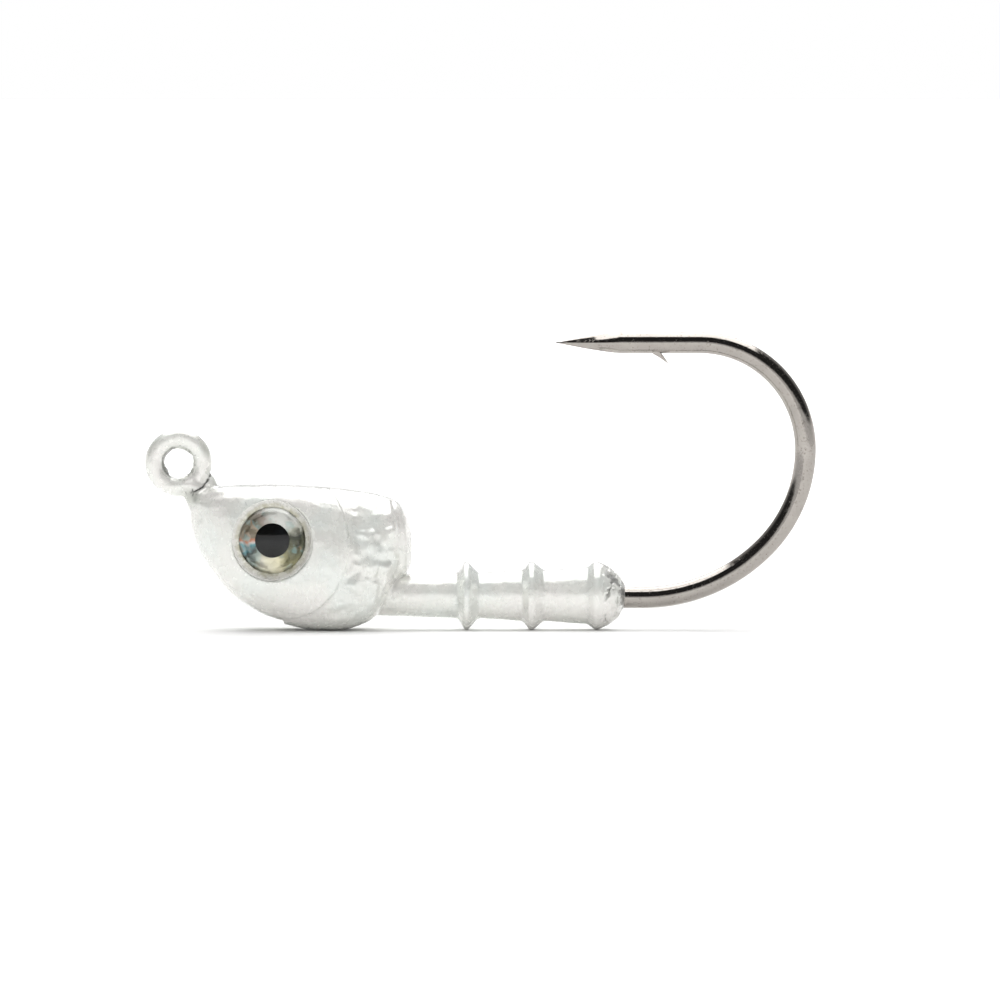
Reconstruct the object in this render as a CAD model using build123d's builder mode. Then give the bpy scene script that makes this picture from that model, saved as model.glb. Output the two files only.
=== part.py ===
from build123d import *
import math
import os

# Jig head: a forged hook with a lead head and bait keeper cast round it, powder painted, with
# a domed lure eye glued in a socket on each side.
#
# Millimetres. +X runs from the line eye to the bend of the hook, +Z is up with the hook point
# riding above the head, and the part is the same on both sides of Y = 0.
# Origin: centre of the footprint, on the surface that the belly and the keeper rings rest on.

# ---------------------------------------------------------------- hook
wire_dia = 1.6
eye_wire_dia = 1.15          # the wire is drawn thinner where it is rolled into the line eye
riser_angle = 60.0           # degrees between the shank and the riser that carries the line eye
line_eye_rise = 1.41         # centre of the line eye above the top of the head
riser_bend_radius = 2.5
bare_shank = 1.37            # straight wire between the casting's tail and the bend
heel_radius = 13.0
back_radius = 10.6
crown_radius = 8.03
heel_turn = 45.0             # degrees of the bend that have the heel radius
point_arm = 10.88            # from the top of the bend to the point
point_taper = 4.85
point_flat = 0.08
barb_from_point = 8.6        # barb's tip, behind the point
barb_length = 1.25
barb_lift = 0.75
barb_width = 0.9
wire_end_gap = 0.16          # between the rolled wire's cut end and the riser

# ---------------------------------------------------------------- paint
paint = 0.12
eye_bore_dia = 2.4           # clear hole in the painted line eye
eye_bore_paint = 0.07        # paint left on the wire where the hole is cleared

# ---------------------------------------------------------------- cast head
head_length = 16.71
head_height = 11.3
head_width = 8.4             # without the gill covers
head_start = -5.02           # nose, measured along the shank from the riser's corner
head_drop = 2.48             # belly below the shank's axis, before its flat
belly_flat = 0.05            # depth of a flat that the head stands on, assumed
gill_raise = 0.22            # step from the gill cover down to the body behind it
gill_edge = 11.9             # back edge of the gill cover, from the nose
gill_radius = 6.4
gill_drop = 0.6              # centre of the gill cover's curve, below the lure eye's centre

# Stations of the head from nose to tail: shares of its length, and of its height (top and
# bottom edge) and width there.
head_stations = [
    (0.004, 0.872, 0.700, 0.18),
    (0.032, 0.925, 0.565, 0.36),
    (0.086, 0.955, 0.420, 0.54),
    (0.171, 0.975, 0.246, 0.75),
    (0.274, 0.982, 0.132, 0.89),
    (0.428, 0.982, 0.043, 0.98),
    (0.600, 0.968, 0.002, 1.00),
    (0.750, 0.942, 0.026, 0.95),
    (0.860, 0.910, 0.125, 0.83),
    (0.945, 0.850, 0.350, 0.60),
    (0.990, 0.740, 0.430, 0.30),
]
flank_fullness = 0.765       # 0.707 is an ellipse, more is a flatter flank

# ---------------------------------------------------------------- bait keeper
keeper_rise = 0.15           # keeper's axis above the shank's axis
keeper_front_dia = 3.0
keeper_back_dia = 4.3
ring_dia = 5.16
ring_count = 3
first_ring_gap = 4.21        # from the back of the head to the first ring
ring_pitch = 4.93
ring_crest = 0.3
ring_front = 0.55            # length of the steep side, towards the head
ring_back = 0.8              # length of the gentle side, towards the bend
tail_length = 2.17           # from the last ring to the end of the casting
tail_dia = 1.9
tail_round = 4.0             # radius of the bulge between the last ring and the tail's end
bare_tail = 1.0              # end of the casting that the paint doesn't reach

# ---------------------------------------------------------------- lure eyes
lure_eye_dia = 5.0
lure_eye_back = 6.27         # centre behind the nose
lure_eye_drop = 4.32         # centre below the top of the head
glue_gap = 0.5               # round the lure eye in its socket, filled by the glue bead
socket_depth = 1.1           # painted floor of the socket, below the widest part of the flank
adhesive_thick = 0.15
foil_thick = 0.1
pupil_dia = 2.6
pupil_thick = 0.06
lens_edge = 0.3
lens_crown = 1.25            # thickness of the dome at its middle
bead_height = 0.42

# ---------------------------------------------------------------- worked out from the above
wire_r = wire_dia / 2
eye_wire_r = eye_wire_dia / 2
loop_radius = eye_bore_dia / 2 + eye_bore_paint + eye_wire_r
loop_outer = loop_radius + eye_wire_r + paint
riser_height = head_height - head_drop + line_eye_rise
loop_back = riser_height / math.tan(math.radians(riser_angle))
first_ring = head_start + head_length + first_ring_gap
last_ring = first_ring + ring_pitch * (ring_count - 1)
keeper_end = last_ring + tail_length
shank_length = keeper_end + bare_shank
back_turn = 90.0 - heel_turn
bend_reach = (
    heel_radius * math.sin(math.radians(heel_turn))
    + back_radius * (1 - math.cos(math.radians(back_turn)))
)
front_x = -loop_back - loop_outer
back_x = shank_length + bend_reach + wire_r
corner_x = -(front_x + back_x) / 2
ring_drop = ring_dia / 2 - keeper_rise
shank_z = max(head_drop - belly_flat, ring_drop)
nose_x = corner_x + head_start
keeper_z = shank_z + keeper_rise
lure_eye_x = nose_x + lure_eye_back
lure_eye_z = shank_z - head_drop + head_height - lure_eye_drop
socket_dia = lure_eye_dia + 2 * glue_gap
socket_floor = head_width / 2 - socket_depth
loop_centre = (corner_x - loop_back, 0, shank_z + riser_height)
dome_rise = lens_crown - lens_edge
dome_radius = ((lure_eye_dia / 2) ** 2 + dome_rise**2) / (2 * dome_rise)
dome_mid_r = lure_eye_dia / 4
dome_mid_height = lens_crown - dome_radius + math.sqrt(dome_radius**2 - dome_mid_r**2)

os.makedirs("parts", exist_ok=True)


def hand_in(piece, label):
    """Labels a finished piece and writes it as its own STEP file."""
    piece.part.label = label
    export_step(piece.part, f"parts/{label}.step")


# ---------------------------------------------------------------- the hook
riser_direction = (
    math.cos(math.radians(riser_angle)),
    -math.sin(math.radians(riser_angle)),
)
corner_setback = riser_bend_radius * math.tan(math.radians(riser_angle / 2))
riser_run = math.hypot(loop_back, riser_height) - loop_radius - corner_setback
riser_top = (
    loop_centre[0] + loop_radius * riser_direction[0],
    loop_centre[2] + loop_radius * riser_direction[1],
)

riser_plane = Plane((riser_top[0], 0, riser_top[1]), z_dir=(riser_direction[0], 0, riser_direction[1]))
roll_plane = Plane((riser_top[0], 0, riser_top[1]), z_dir=(-riser_direction[1], 0, riser_direction[0]))

with BuildPart() as hook:
    with BuildLine(Plane.XZ) as wire:
        riser = PolarLine(riser_top, riser_run, direction=riser_direction)
        foot = JernArc(riser @ 1, riser % 1, riser_bend_radius, riser_angle)
        shank = PolarLine(foot @ 1, shank_length - corner_setback, direction=foot % 1)
        heel = JernArc(shank @ 1, shank % 1, heel_radius, heel_turn)
        back = JernArc(heel @ 1, heel % 1, back_radius, back_turn)
        crown = JernArc(back @ 1, back % 1, crown_radius, 90)
        arm = PolarLine(crown @ 1, point_arm - point_taper, direction=crown % 1)
    with BuildSketch(Plane(origin=wire.line @ 0, z_dir=wire.line % 0)):
        Circle(wire_r)
    sweep()
    # point, ground to a long taper
    point_base = wire.line @ 1
    with BuildSketch(Plane(origin=point_base, z_dir=(-1, 0, 0))):
        Circle(wire_r)
    with BuildSketch(Plane(origin=point_base - Vector(point_taper, 0, 0), z_dir=(-1, 0, 0))):
        Circle(point_flat / 2)
    loft()
    # barb, a sliver cut from the underside and lifted towards the bend
    barb_x = point_base.X - point_taper + barb_from_point
    barb_z = point_base.Z - wire_r
    with BuildSketch(Plane.XZ):
        with BuildLine():
            Polyline(
                (barb_x - barb_length, barb_z + wire_r / 2),
                (barb_x - barb_length, barb_z),
                (barb_x, barb_z - barb_lift),
                (barb_x - barb_length / 3, barb_z + wire_r / 2),
                close=True,
            )
        make_face()
    extrude(amount=barb_width / 2, both=True)
    # line eye, rolled round until its cut end all but meets the riser
    end_angle = math.degrees((wire_r + wire_end_gap) / loop_radius)
    with BuildSketch(roll_plane):
        Circle(eye_wire_r)
    revolve(axis=Axis(loop_centre, (0, 1, 0)), revolution_arc=360 - end_angle)

hand_in(hook, "hook")


# ---------------------------------------------------------------- shapes of the casting
def head_form(skin):
    """The head's free form, with its surface moved inwards by skin."""
    with BuildPart() as form:
        for along, top, bottom, width in head_stations:
            section_x = nose_x + skin + (head_length - 2 * skin) * along
            section_z = shank_z - head_drop + head_height * (top + bottom) / 2
            w = head_width * width / 2 - skin
            h = head_height * (top - bottom) / 2 - skin
            shoulder = (w * flank_fullness, h * flank_fullness)
            hip = (w * flank_fullness, -h * flank_fullness)
            with BuildSketch(Plane((section_x, 0, section_z), x_dir=(0, 1, 0), z_dir=(1, 0, 0))):
                with BuildLine():
                    Spline((0, h), shoulder, (w, 0), hip, (0, -h), tangents=((1, 0), (-1, 0)))
                    Line((0, -h), (0, h))
                make_face()
        loft()
        mirror(about=Plane.XZ)
    return form.part


def head_with_gills(skin):
    """The head with the gill covers standing proud of the body behind them."""
    gill_x = nose_x + gill_edge
    with BuildPart() as head:
        add(head_form(skin - gill_raise))
        with Locations((gill_x - gill_radius, 0, lure_eye_z - gill_drop)):
            Cylinder(gill_radius - skin, head_width * 2, rotation=(90, 0, 0), mode=Mode.INTERSECT)
        add(head_form(skin))
        split(bisect_by=Plane((0, 0, shank_z - head_drop + belly_flat + skin)), keep=Keep.TOP)
    return head.part


def keeper_form(skin, end_x):
    """The bait keeper: a tapered core with barbed rings and a rounded tail, cut off at end_x."""
    front_r = keeper_front_dia / 2 - skin
    back_r = keeper_back_dia / 2 - skin
    crest_r = ring_dia / 2 - skin
    front = corner_x + first_ring - ring_pitch
    tail = corner_x + keeper_end
    slope = (back_r - front_r) / (last_ring - first_ring + ring_pitch)
    outline = [(front - ring_pitch / 2, 0), (front - ring_pitch / 2, front_r), (front, front_r)]
    for ring in range(ring_count):
        crest = corner_x + first_ring + ring_pitch * ring
        core_r = front_r + slope * (crest - front)
        outline.append((crest - ring_crest / 2 - ring_front, core_r))
        outline.append((crest - ring_crest / 2, crest_r))
        outline.append((crest + ring_crest / 2, crest_r))
        if ring < ring_count - 1:
            outline.append((crest + ring_crest / 2 + ring_back, core_r))
    with BuildPart() as keeper:
        with BuildSketch(Plane((0, 0, keeper_z), x_dir=(1, 0, 0), z_dir=(0, -1, 0))):
            with BuildLine():
                Polyline(*outline)
                RadiusArc(outline[-1], (tail - skin, tail_dia / 2 - skin), tail_round)
                Polyline((tail - skin, tail_dia / 2 - skin), (tail - skin, 0), outline[0])
            make_face()
        revolve(axis=Axis((0, 0, keeper_z), (1, 0, 0)))
        split(bisect_by=Plane((end_x, 0, 0), z_dir=(1, 0, 0)), keep=Keep.BOTTOM)
    return keeper.part


def casting_form(skin, end_x):
    """Head and bait keeper in one, with the two eye sockets cut in."""
    floor = socket_floor - skin
    with BuildPart() as casting:
        add(head_with_gills(skin))
        add(keeper_form(skin, end_x))
        for side in (-1, 1):
            with Locations((lure_eye_x, side * (floor + head_width / 2), lure_eye_z)):
                Cylinder(
                    socket_dia / 2 + skin, head_width, rotation=(90, 0, 0), mode=Mode.SUBTRACT
                )
    return casting.part


keeper_tail = corner_x + keeper_end
lead_form = casting_form(paint, keeper_tail)
painted_form = casting_form(0, keeper_tail - bare_tail)

# ---------------------------------------------------------------- lead and paint
with BuildPart() as lead_head:
    add(lead_form)
    add(hook.part, mode=Mode.SUBTRACT)

hand_in(lead_head, "lead_head")

with BuildPart() as head_paint:
    add(painted_form)
    add(lead_form, mode=Mode.SUBTRACT)
    add(hook.part, mode=Mode.SUBTRACT)

hand_in(head_paint, "head_paint")

with BuildPart() as eye_paint:
    with Locations(loop_centre):
        Torus(loop_radius, eye_wire_r + paint, rotation=(90, 0, 0))
    with BuildSketch(riser_plane):
        Circle(wire_r + paint)
    extrude(amount=riser_run)
    with Locations(loop_centre):
        Cylinder(eye_bore_dia / 2, loop_outer, rotation=(90, 0, 0), mode=Mode.SUBTRACT)
    add(painted_form, mode=Mode.SUBTRACT)
    add(hook.part, mode=Mode.SUBTRACT)

hand_in(eye_paint, "eye_paint")

# ---------------------------------------------------------------- lure eyes
for side_name, side in (("left", -1), ("right", 1)):
    pad_y = socket_floor
    foil_y = pad_y + adhesive_thick
    print_y = foil_y + foil_thick
    lens_y = print_y + lens_edge
    disc_turn = (-90 * side, 0, 0)
    disc_align = (Align.CENTER, Align.CENTER, Align.MIN)

    with BuildPart() as adhesive:
        with Locations((lure_eye_x, side * pad_y, lure_eye_z)):
            Cylinder(lure_eye_dia / 2, adhesive_thick, rotation=disc_turn, align=disc_align)

    hand_in(adhesive, f"adhesive_{side_name}")

    with BuildPart() as iris_foil:
        with Locations((lure_eye_x, side * foil_y, lure_eye_z)):
            Cylinder(lure_eye_dia / 2, foil_thick, rotation=disc_turn, align=disc_align)

    hand_in(iris_foil, f"iris_foil_{side_name}")

    with BuildPart() as pupil:
        with Locations((lure_eye_x, side * print_y, lure_eye_z)):
            Cylinder(pupil_dia / 2, pupil_thick, rotation=disc_turn, align=disc_align)

    hand_in(pupil, f"pupil_{side_name}")

    with BuildPart() as lens:
        with BuildSketch(Plane.XY.offset(lure_eye_z)):
            with BuildLine():
                Polyline(
                    (lure_eye_x, side * (print_y + lens_crown)),
                    (lure_eye_x, side * (print_y + pupil_thick)),
                    (lure_eye_x + pupil_dia / 2, side * (print_y + pupil_thick)),
                    (lure_eye_x + pupil_dia / 2, side * print_y),
                    (lure_eye_x + lure_eye_dia / 2, side * print_y),
                    (lure_eye_x + lure_eye_dia / 2, side * lens_y),
                )
                ThreePointArc(
                    (lure_eye_x + lure_eye_dia / 2, side * lens_y),
                    (lure_eye_x + dome_mid_r, side * (print_y + dome_mid_height)),
                    (lure_eye_x, side * (print_y + lens_crown)),
                )
            make_face()
        revolve(axis=Axis((lure_eye_x, 0, lure_eye_z), (0, 1, 0)))

    hand_in(lens, f"lens_{side_name}")

    with BuildPart() as glue_bead:
        with Locations((lure_eye_x, side * pad_y, lure_eye_z)):
            Cylinder(socket_dia / 2, bead_height, rotation=disc_turn, align=disc_align)
            Cylinder(
                lure_eye_dia / 2, bead_height, rotation=disc_turn, align=disc_align,
                mode=Mode.SUBTRACT,
            )

    hand_in(glue_bead, f"glue_bead_{side_name}")
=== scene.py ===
import math

import bmesh
import bpy
import numpy as np
from mathutils import Matrix, Vector, noise


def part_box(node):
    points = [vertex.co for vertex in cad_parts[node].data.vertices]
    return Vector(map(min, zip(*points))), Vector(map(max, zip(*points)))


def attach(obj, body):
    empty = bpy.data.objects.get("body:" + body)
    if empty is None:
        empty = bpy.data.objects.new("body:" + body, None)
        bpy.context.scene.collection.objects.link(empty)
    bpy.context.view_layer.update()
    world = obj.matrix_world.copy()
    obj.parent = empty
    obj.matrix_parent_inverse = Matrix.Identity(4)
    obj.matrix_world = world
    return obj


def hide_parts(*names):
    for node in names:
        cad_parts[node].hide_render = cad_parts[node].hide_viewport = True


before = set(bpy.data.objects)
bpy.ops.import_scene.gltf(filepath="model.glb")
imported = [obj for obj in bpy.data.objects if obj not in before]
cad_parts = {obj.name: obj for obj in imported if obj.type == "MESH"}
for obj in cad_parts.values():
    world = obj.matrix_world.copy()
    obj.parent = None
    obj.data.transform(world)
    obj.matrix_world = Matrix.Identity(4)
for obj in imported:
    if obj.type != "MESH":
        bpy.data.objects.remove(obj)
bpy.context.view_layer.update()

# Shapes are worked out in millimetres and brought to metres when a piece is finished.
MM = 0.001


def node_box(name):
    """A CAD node's lowest and highest corner, in millimetres."""
    low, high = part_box(name)
    return Vector(low) / MM, Vector(high) / MM


hook_low, hook_high = node_box("hook")
lens_low, lens_high = node_box("lens_left")
foil_low, foil_high = node_box("iris_foil_left")
pupil_low = node_box("pupil_left")[0]
bead_low, bead_high = node_box("glue_bead_left")

# ---------------------------------------------------------------- sizes
WIRE_R = 0.8
EYE_WIRE_R = 0.575
LOOP_R = 1.845
PAINT = 0.12
RISER_ANGLE = 60.0
RISER_HEIGHT = 10.23
FOOT_R = 2.5
HEEL_R = 13.0
HEEL_TURN = math.radians(45)
BACK_R = 10.6
CROWN_R = 8.03
POINT_ARM = 10.88
POINT_TAPER = 4.85
SHANK_Z = hook_low.z + WIRE_R
LOOP = Vector((hook_low.x + LOOP_R + EYE_WIRE_R, 0, SHANK_Z + RISER_HEIGHT))
CORNER_X = LOOP.x + RISER_HEIGHT / math.tan(math.radians(RISER_ANGLE))
BACK_X = hook_high.x - WIRE_R

NOSE_X = CORNER_X - 5.02
HEAD_LENGTH = 16.71
HEAD_HEIGHT = 11.3
HEAD_HALF_WIDTH = 4.2
BELLY_Z = SHANK_Z - 2.48
EYE = Vector(((lens_low.x + lens_high.x) / 2, 0, (lens_low.z + lens_high.z) / 2))
EYE_R = (lens_high.x - lens_low.x) / 2
SOCKET_R = (bead_high.x - bead_low.x) / 2
SOCKET_FLOOR = -bead_high.y

KEEPER_Z = SHANK_Z + 0.15
RINGS = [CORNER_X + 15.9, CORNER_X + 20.83, CORNER_X + 25.76]
CORE_R = [1.5, 1.72, 1.93, 2.15]
RING_R = 2.58
TAIL_X = CORNER_X + 27.93


# ---------------------------------------------------------------- small helpers
def soft_step(value, low, high):
    """0 below low, 1 above high and a smooth rise between them."""
    share = np.clip((value - low) / (high - low), 0.0, 1.0)
    return share * share * (3.0 - 2.0 * share)


def lumps(points, size, shift=0.0):
    """Smooth noise from -1 to 1 at each point, with features of about that size."""
    offset = Vector((shift, shift * 0.37, shift * 0.71))
    return np.array([noise.noise(Vector(point) / size + offset) for point in points])


def new_piece(name, form, finish, slot, *nodes, scale=MM):
    """Makes a finished form a piece of the object that stands for those CAD nodes."""
    if isinstance(form, bpy.types.Mesh):
        mesh = form
        mesh.name = name
        mesh.transform(Matrix.Scale(scale, 4))
    else:
        bmesh.ops.scale(form, vec=(scale, scale, scale), verts=form.verts)
        mesh = bpy.data.meshes.new(name)
        form.to_mesh(mesh)
        form.free()
    mesh.shade_smooth()
    mesh.materials.clear()
    mesh.materials.append(finish)
    piece = bpy.data.objects.new(name, mesh)
    bpy.context.scene.collection.objects.link(piece)
    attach(piece, "root")
    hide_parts(*nodes)
    return piece


def tidy_skin(form):
    """Merges doubles and turns every face outwards."""
    bmesh.ops.remove_doubles(form, verts=form.verts, dist=0.0005)
    bmesh.ops.recalc_face_normals(form, faces=form.faces)


def extrude_ring(form, edges):
    """Extrudes an open ring of edges in place, and gives the new ring's edges and vertices."""
    grown = bmesh.ops.extrude_edge_only(form, edges=edges)["geom"]
    new_edges = [item for item in grown if isinstance(item, bmesh.types.BMEdge)]
    new_verts = [item for item in grown if isinstance(item, bmesh.types.BMVert)]
    return new_edges, new_verts


def spun(outline, centre, axis, steps):
    """A closed shape: an outline from axis to axis, spun all the way round."""
    form = bmesh.new()
    corners = [form.verts.new(point) for point in outline]
    edges = [form.edges.new(pair) for pair in zip(corners, corners[1:])]
    bmesh.ops.spin(
        form, geom=corners + edges, cent=centre, axis=axis, angle=math.tau, steps=steps,
        use_merge=True,
    )
    tidy_skin(form)
    return form


def join_forms(*forms):
    """Puts several forms in one."""
    whole = bmesh.new()
    for form in forms:
        part = bpy.data.meshes.new("part")
        form.to_mesh(part)
        form.free()
        whole.from_mesh(part)
        bpy.data.meshes.remove(part)
    return whole


def one_skin(form, voxel, rounds):
    """Melts overlapping forms into one even skin of that voxel size, then smooths it."""
    rough = bpy.data.meshes.new("rough")
    form.to_mesh(rough)
    form.free()
    holder = bpy.data.objects.new("rough", rough)
    bpy.context.scene.collection.objects.link(holder)
    melt = holder.modifiers.new("melt", "REMESH")
    melt.mode = "VOXEL"
    melt.voxel_size = voxel
    smooth = holder.modifiers.new("smooth", "SMOOTH")
    smooth.factor = 0.5
    smooth.iterations = rounds
    drawn = holder.evaluated_get(bpy.context.evaluated_depsgraph_get())
    mesh = bpy.data.meshes.new_from_object(drawn)
    bpy.data.objects.remove(holder)
    bpy.data.meshes.remove(rough)
    return mesh


def get_points(mesh):
    flat = np.empty(len(mesh.vertices) * 3, np.float32)
    mesh.vertices.foreach_get("co", flat)
    return flat.reshape(-1, 3).astype(float)


def set_points(mesh, points):
    mesh.vertices.foreach_set("co", points.astype(np.float32).ravel())
    mesh.update()


def get_normals(mesh):
    flat = np.empty(len(mesh.vertices) * 3, np.float32)
    mesh.vertices.foreach_get("normal", flat)
    return flat.reshape(-1, 3).astype(float)


def store_mask(mesh, name, values):
    """Keeps a number from 0 to 1 for each vertex, for the finish to read."""
    mask = mesh.attributes.new(name, "FLOAT", "POINT")
    mask.data.foreach_set("value", np.clip(values, 0, 1).astype(np.float32))


# ---------------------------------------------------------------- material helpers
def new_finish(name):
    """A material's node tree and its main shader, with patterns measured in millimetres."""
    material = bpy.data.materials.new(name)
    material.use_nodes = True
    tree = material.node_tree
    shader = tree.nodes["Principled BSDF"]
    place = add_node(tree, "ShaderNodeTexCoord").outputs["Object"]
    in_mm = add_node(tree, "ShaderNodeMapping", {"Vector": place, "Scale": (1000, 1000, 1000)})
    return material, tree, shader, in_mm.outputs["Vector"]


def add_node(tree, kind, inputs=None, **settings):
    """Adds a node; each input is a number, a colour or another node's output."""
    item = tree.nodes.new(kind)
    for name, value in settings.items():
        setattr(item, name, value)
    for name, value in (inputs or {}).items():
        if isinstance(value, bpy.types.NodeSocket):
            tree.links.new(value, item.inputs[name])
        else:
            item.inputs[name].default_value = value
    return item


def maths(tree, operation, first, second=0.0):
    return add_node(tree, "ShaderNodeMath", {0: first, 1: second}, operation=operation).outputs[0]


def rise(tree, value, low, high, start=0.0, end=1.0):
    """start below low, end above high, and a smooth change between them."""
    inputs = {"Value": value, "From Min": low, "From Max": high, "To Min": start, "To Max": end}
    item = add_node(tree, "ShaderNodeMapRange", inputs, interpolation_type="SMOOTHSTEP")
    return item.outputs["Result"]


def cloud(tree, place, scale, detail=2.0, roughness=0.5):
    inputs = {"Vector": place, "Scale": scale, "Detail": detail, "Roughness": roughness}
    return add_node(tree, "ShaderNodeTexNoise", inputs).outputs["Fac"]


def blend_colour(tree, share, first, second, mode="MIX"):
    item = add_node(tree, "ShaderNodeMix", data_type="RGBA", blend_type=mode)
    for index, value in ((0, share), (6, first), (7, second)):
        if isinstance(value, bpy.types.NodeSocket):
            tree.links.new(value, item.inputs[index])
        else:
            item.inputs[index].default_value = value
    return item.outputs[2]


def relief(tree, shader, height, depth, strength=1.0, under=None):
    """Bump of that depth in metres; under is a bump that it is laid over."""
    inputs = {"Height": height, "Distance": depth, "Strength": strength}
    if under is not None:
        inputs["Normal"] = under
    bump = add_node(tree, "ShaderNodeBump", inputs).outputs["Normal"]
    tree.links.new(bump, shader.inputs["Normal"])
    return bump


def stored(tree, name):
    return add_node(tree, "ShaderNodeAttribute", attribute_name=name).outputs["Fac"]


# ---------------------------------------------------------------- finishes
def pearl_paint_finish():
    """White pearl powder paint: slight orange peel, faint pink and teal tints, cracks, painted
    shade round the line eye.
    """
    material, tree, shader, place = new_finish("pearl_paint")
    drift = cloud(tree, place, 0.32, 2.0)
    tint = add_node(tree, "ShaderNodeValToRGB", {"Fac": drift})
    ramp = tint.color_ramp
    ramp.elements[0].position = 0.36
    ramp.elements[0].color = (0.845, 0.872, 0.832, 1)
    ramp.elements[1].position = 0.64
    ramp.elements[1].color = (0.884, 0.870, 0.835, 1)
    middle = ramp.elements.new(0.5)
    middle.color = (0.868, 0.872, 0.826, 1)
    flakes = rise(tree, cloud(tree, place, 9.0, 3.0, 0.7), 0.35, 0.68, 0.95, 1.04)
    flecked = blend_colour(tree, 1.0, tint.outputs["Color"], flakes, "MULTIPLY")
    # painted shade: this mask greys the paint to olive where shade falls, on the outer top of the
    # line eye's ring, on the inner wall of its hole and on the neck where it meets the head
    painted_shade = stored(tree, "painted_shade")
    with_painted_shade = blend_colour(tree, painted_shade, flecked, (0.33, 0.35, 0.29, 1))
    # painted shade: the lower-left wall of the line eye's hole is drawn as dark bare lead, more
    # metallic and rougher, standing in for the shade inside the hole
    wall_shade = stored(tree, "wall_shade")
    edge_noise = maths(tree, "MULTIPLY", cloud(tree, place, 3.0, 4.0, 0.7), 0.9)
    ragged = maths(tree, "ADD", wall_shade, edge_noise)
    shaded_wall = rise(tree, ragged, 0.92, 1.0)
    shaded_wall_grey = blend_colour(
        tree, cloud(tree, place, 2.6, 3.0), (0.2, 0.2, 0.18, 1), (0.6, 0.6, 0.58, 1)
    )
    paint_to_lead = blend_colour(tree, shaded_wall, with_painted_shade, shaded_wall_grey)
    crack = stored(tree, "crack")
    cracked = blend_colour(tree, crack, paint_to_lead, (0.02, 0.02, 0.017, 1))
    tree.links.new(cracked, shader.inputs["Base Color"])
    tree.links.new(rise(tree, shaded_wall, 0.0, 1.0, 0.27, 0.85), shader.inputs["Metallic"])
    gloss = rise(tree, cloud(tree, place, 1.4, 3.0), 0.3, 0.7, 0.2, 0.32)
    dulled = maths(tree, "ADD", gloss, maths(tree, "MULTIPLY", shaded_wall, 0.22))
    tree.links.new(dulled, shader.inputs["Roughness"])
    shader.inputs["Coat Weight"].default_value = 1.0
    shader.inputs["Coat Roughness"].default_value = 0.06
    shader.inputs["Specular IOR Level"].default_value = 0.6
    peel = relief(tree, shader, cloud(tree, place, 1.5, 2.0, 0.45), 0.00005, 0.55)
    relief(tree, shader, cloud(tree, place, 8.0, 2.0), 0.000008, 0.5, peel)
    tree.links.new(shader.inputs["Normal"].links[0].from_socket, shader.inputs["Coat Normal"])
    return material


def black_nickel_finish():
    """Black nickel plating on the wire: dark, mirror bright, speckled with fine pits."""
    material, tree, shader, place = new_finish("black_nickel")
    drift = cloud(tree, place, 0.8, 3.0)
    tone = blend_colour(tree, drift, (0.36, 0.335, 0.31, 1), (0.46, 0.43, 0.40, 1))
    speck = rise(tree, cloud(tree, place, 5.5, 4.0, 0.75), 0.56, 0.68)
    tree.links.new(
        blend_colour(tree, speck, tone, (0.24, 0.215, 0.19, 1)), shader.inputs["Base Color"]
    )
    shader.inputs["Metallic"].default_value = 1.0
    gloss = rise(tree, cloud(tree, place, 3.0, 3.0), 0.3, 0.7, 0.07, 0.15)
    dulled = maths(tree, "MULTIPLY", speck, 0.2)
    tree.links.new(maths(tree, "ADD", gloss, dulled), shader.inputs["Roughness"])
    ripple = relief(tree, shader, cloud(tree, place, 1.2, 2.0), 0.00002, 0.3)
    relief(tree, shader, speck, 0.000004, 0.5, ripple)
    return material


def bare_lead_finish():
    """Cast lead where the paint ran out: mottled, dull, with a few bright scuffs."""
    material, tree, shader, place = new_finish("bare_lead")
    mottle = cloud(tree, place, 2.4, 5.0, 0.65)
    tone = blend_colour(
        tree, rise(tree, mottle, 0.38, 0.62), (0.42, 0.42, 0.40, 1), (0.86, 0.86, 0.84, 1)
    )
    tree.links.new(tone, shader.inputs["Base Color"])
    shader.inputs["Metallic"].default_value = 0.85
    tree.links.new(rise(tree, mottle, 0.3, 0.7, 0.5, 0.28), shader.inputs["Roughness"])
    relief(tree, shader, cloud(tree, place, 4.0, 4.0, 0.6), 0.00004, 0.6)
    return material


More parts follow.
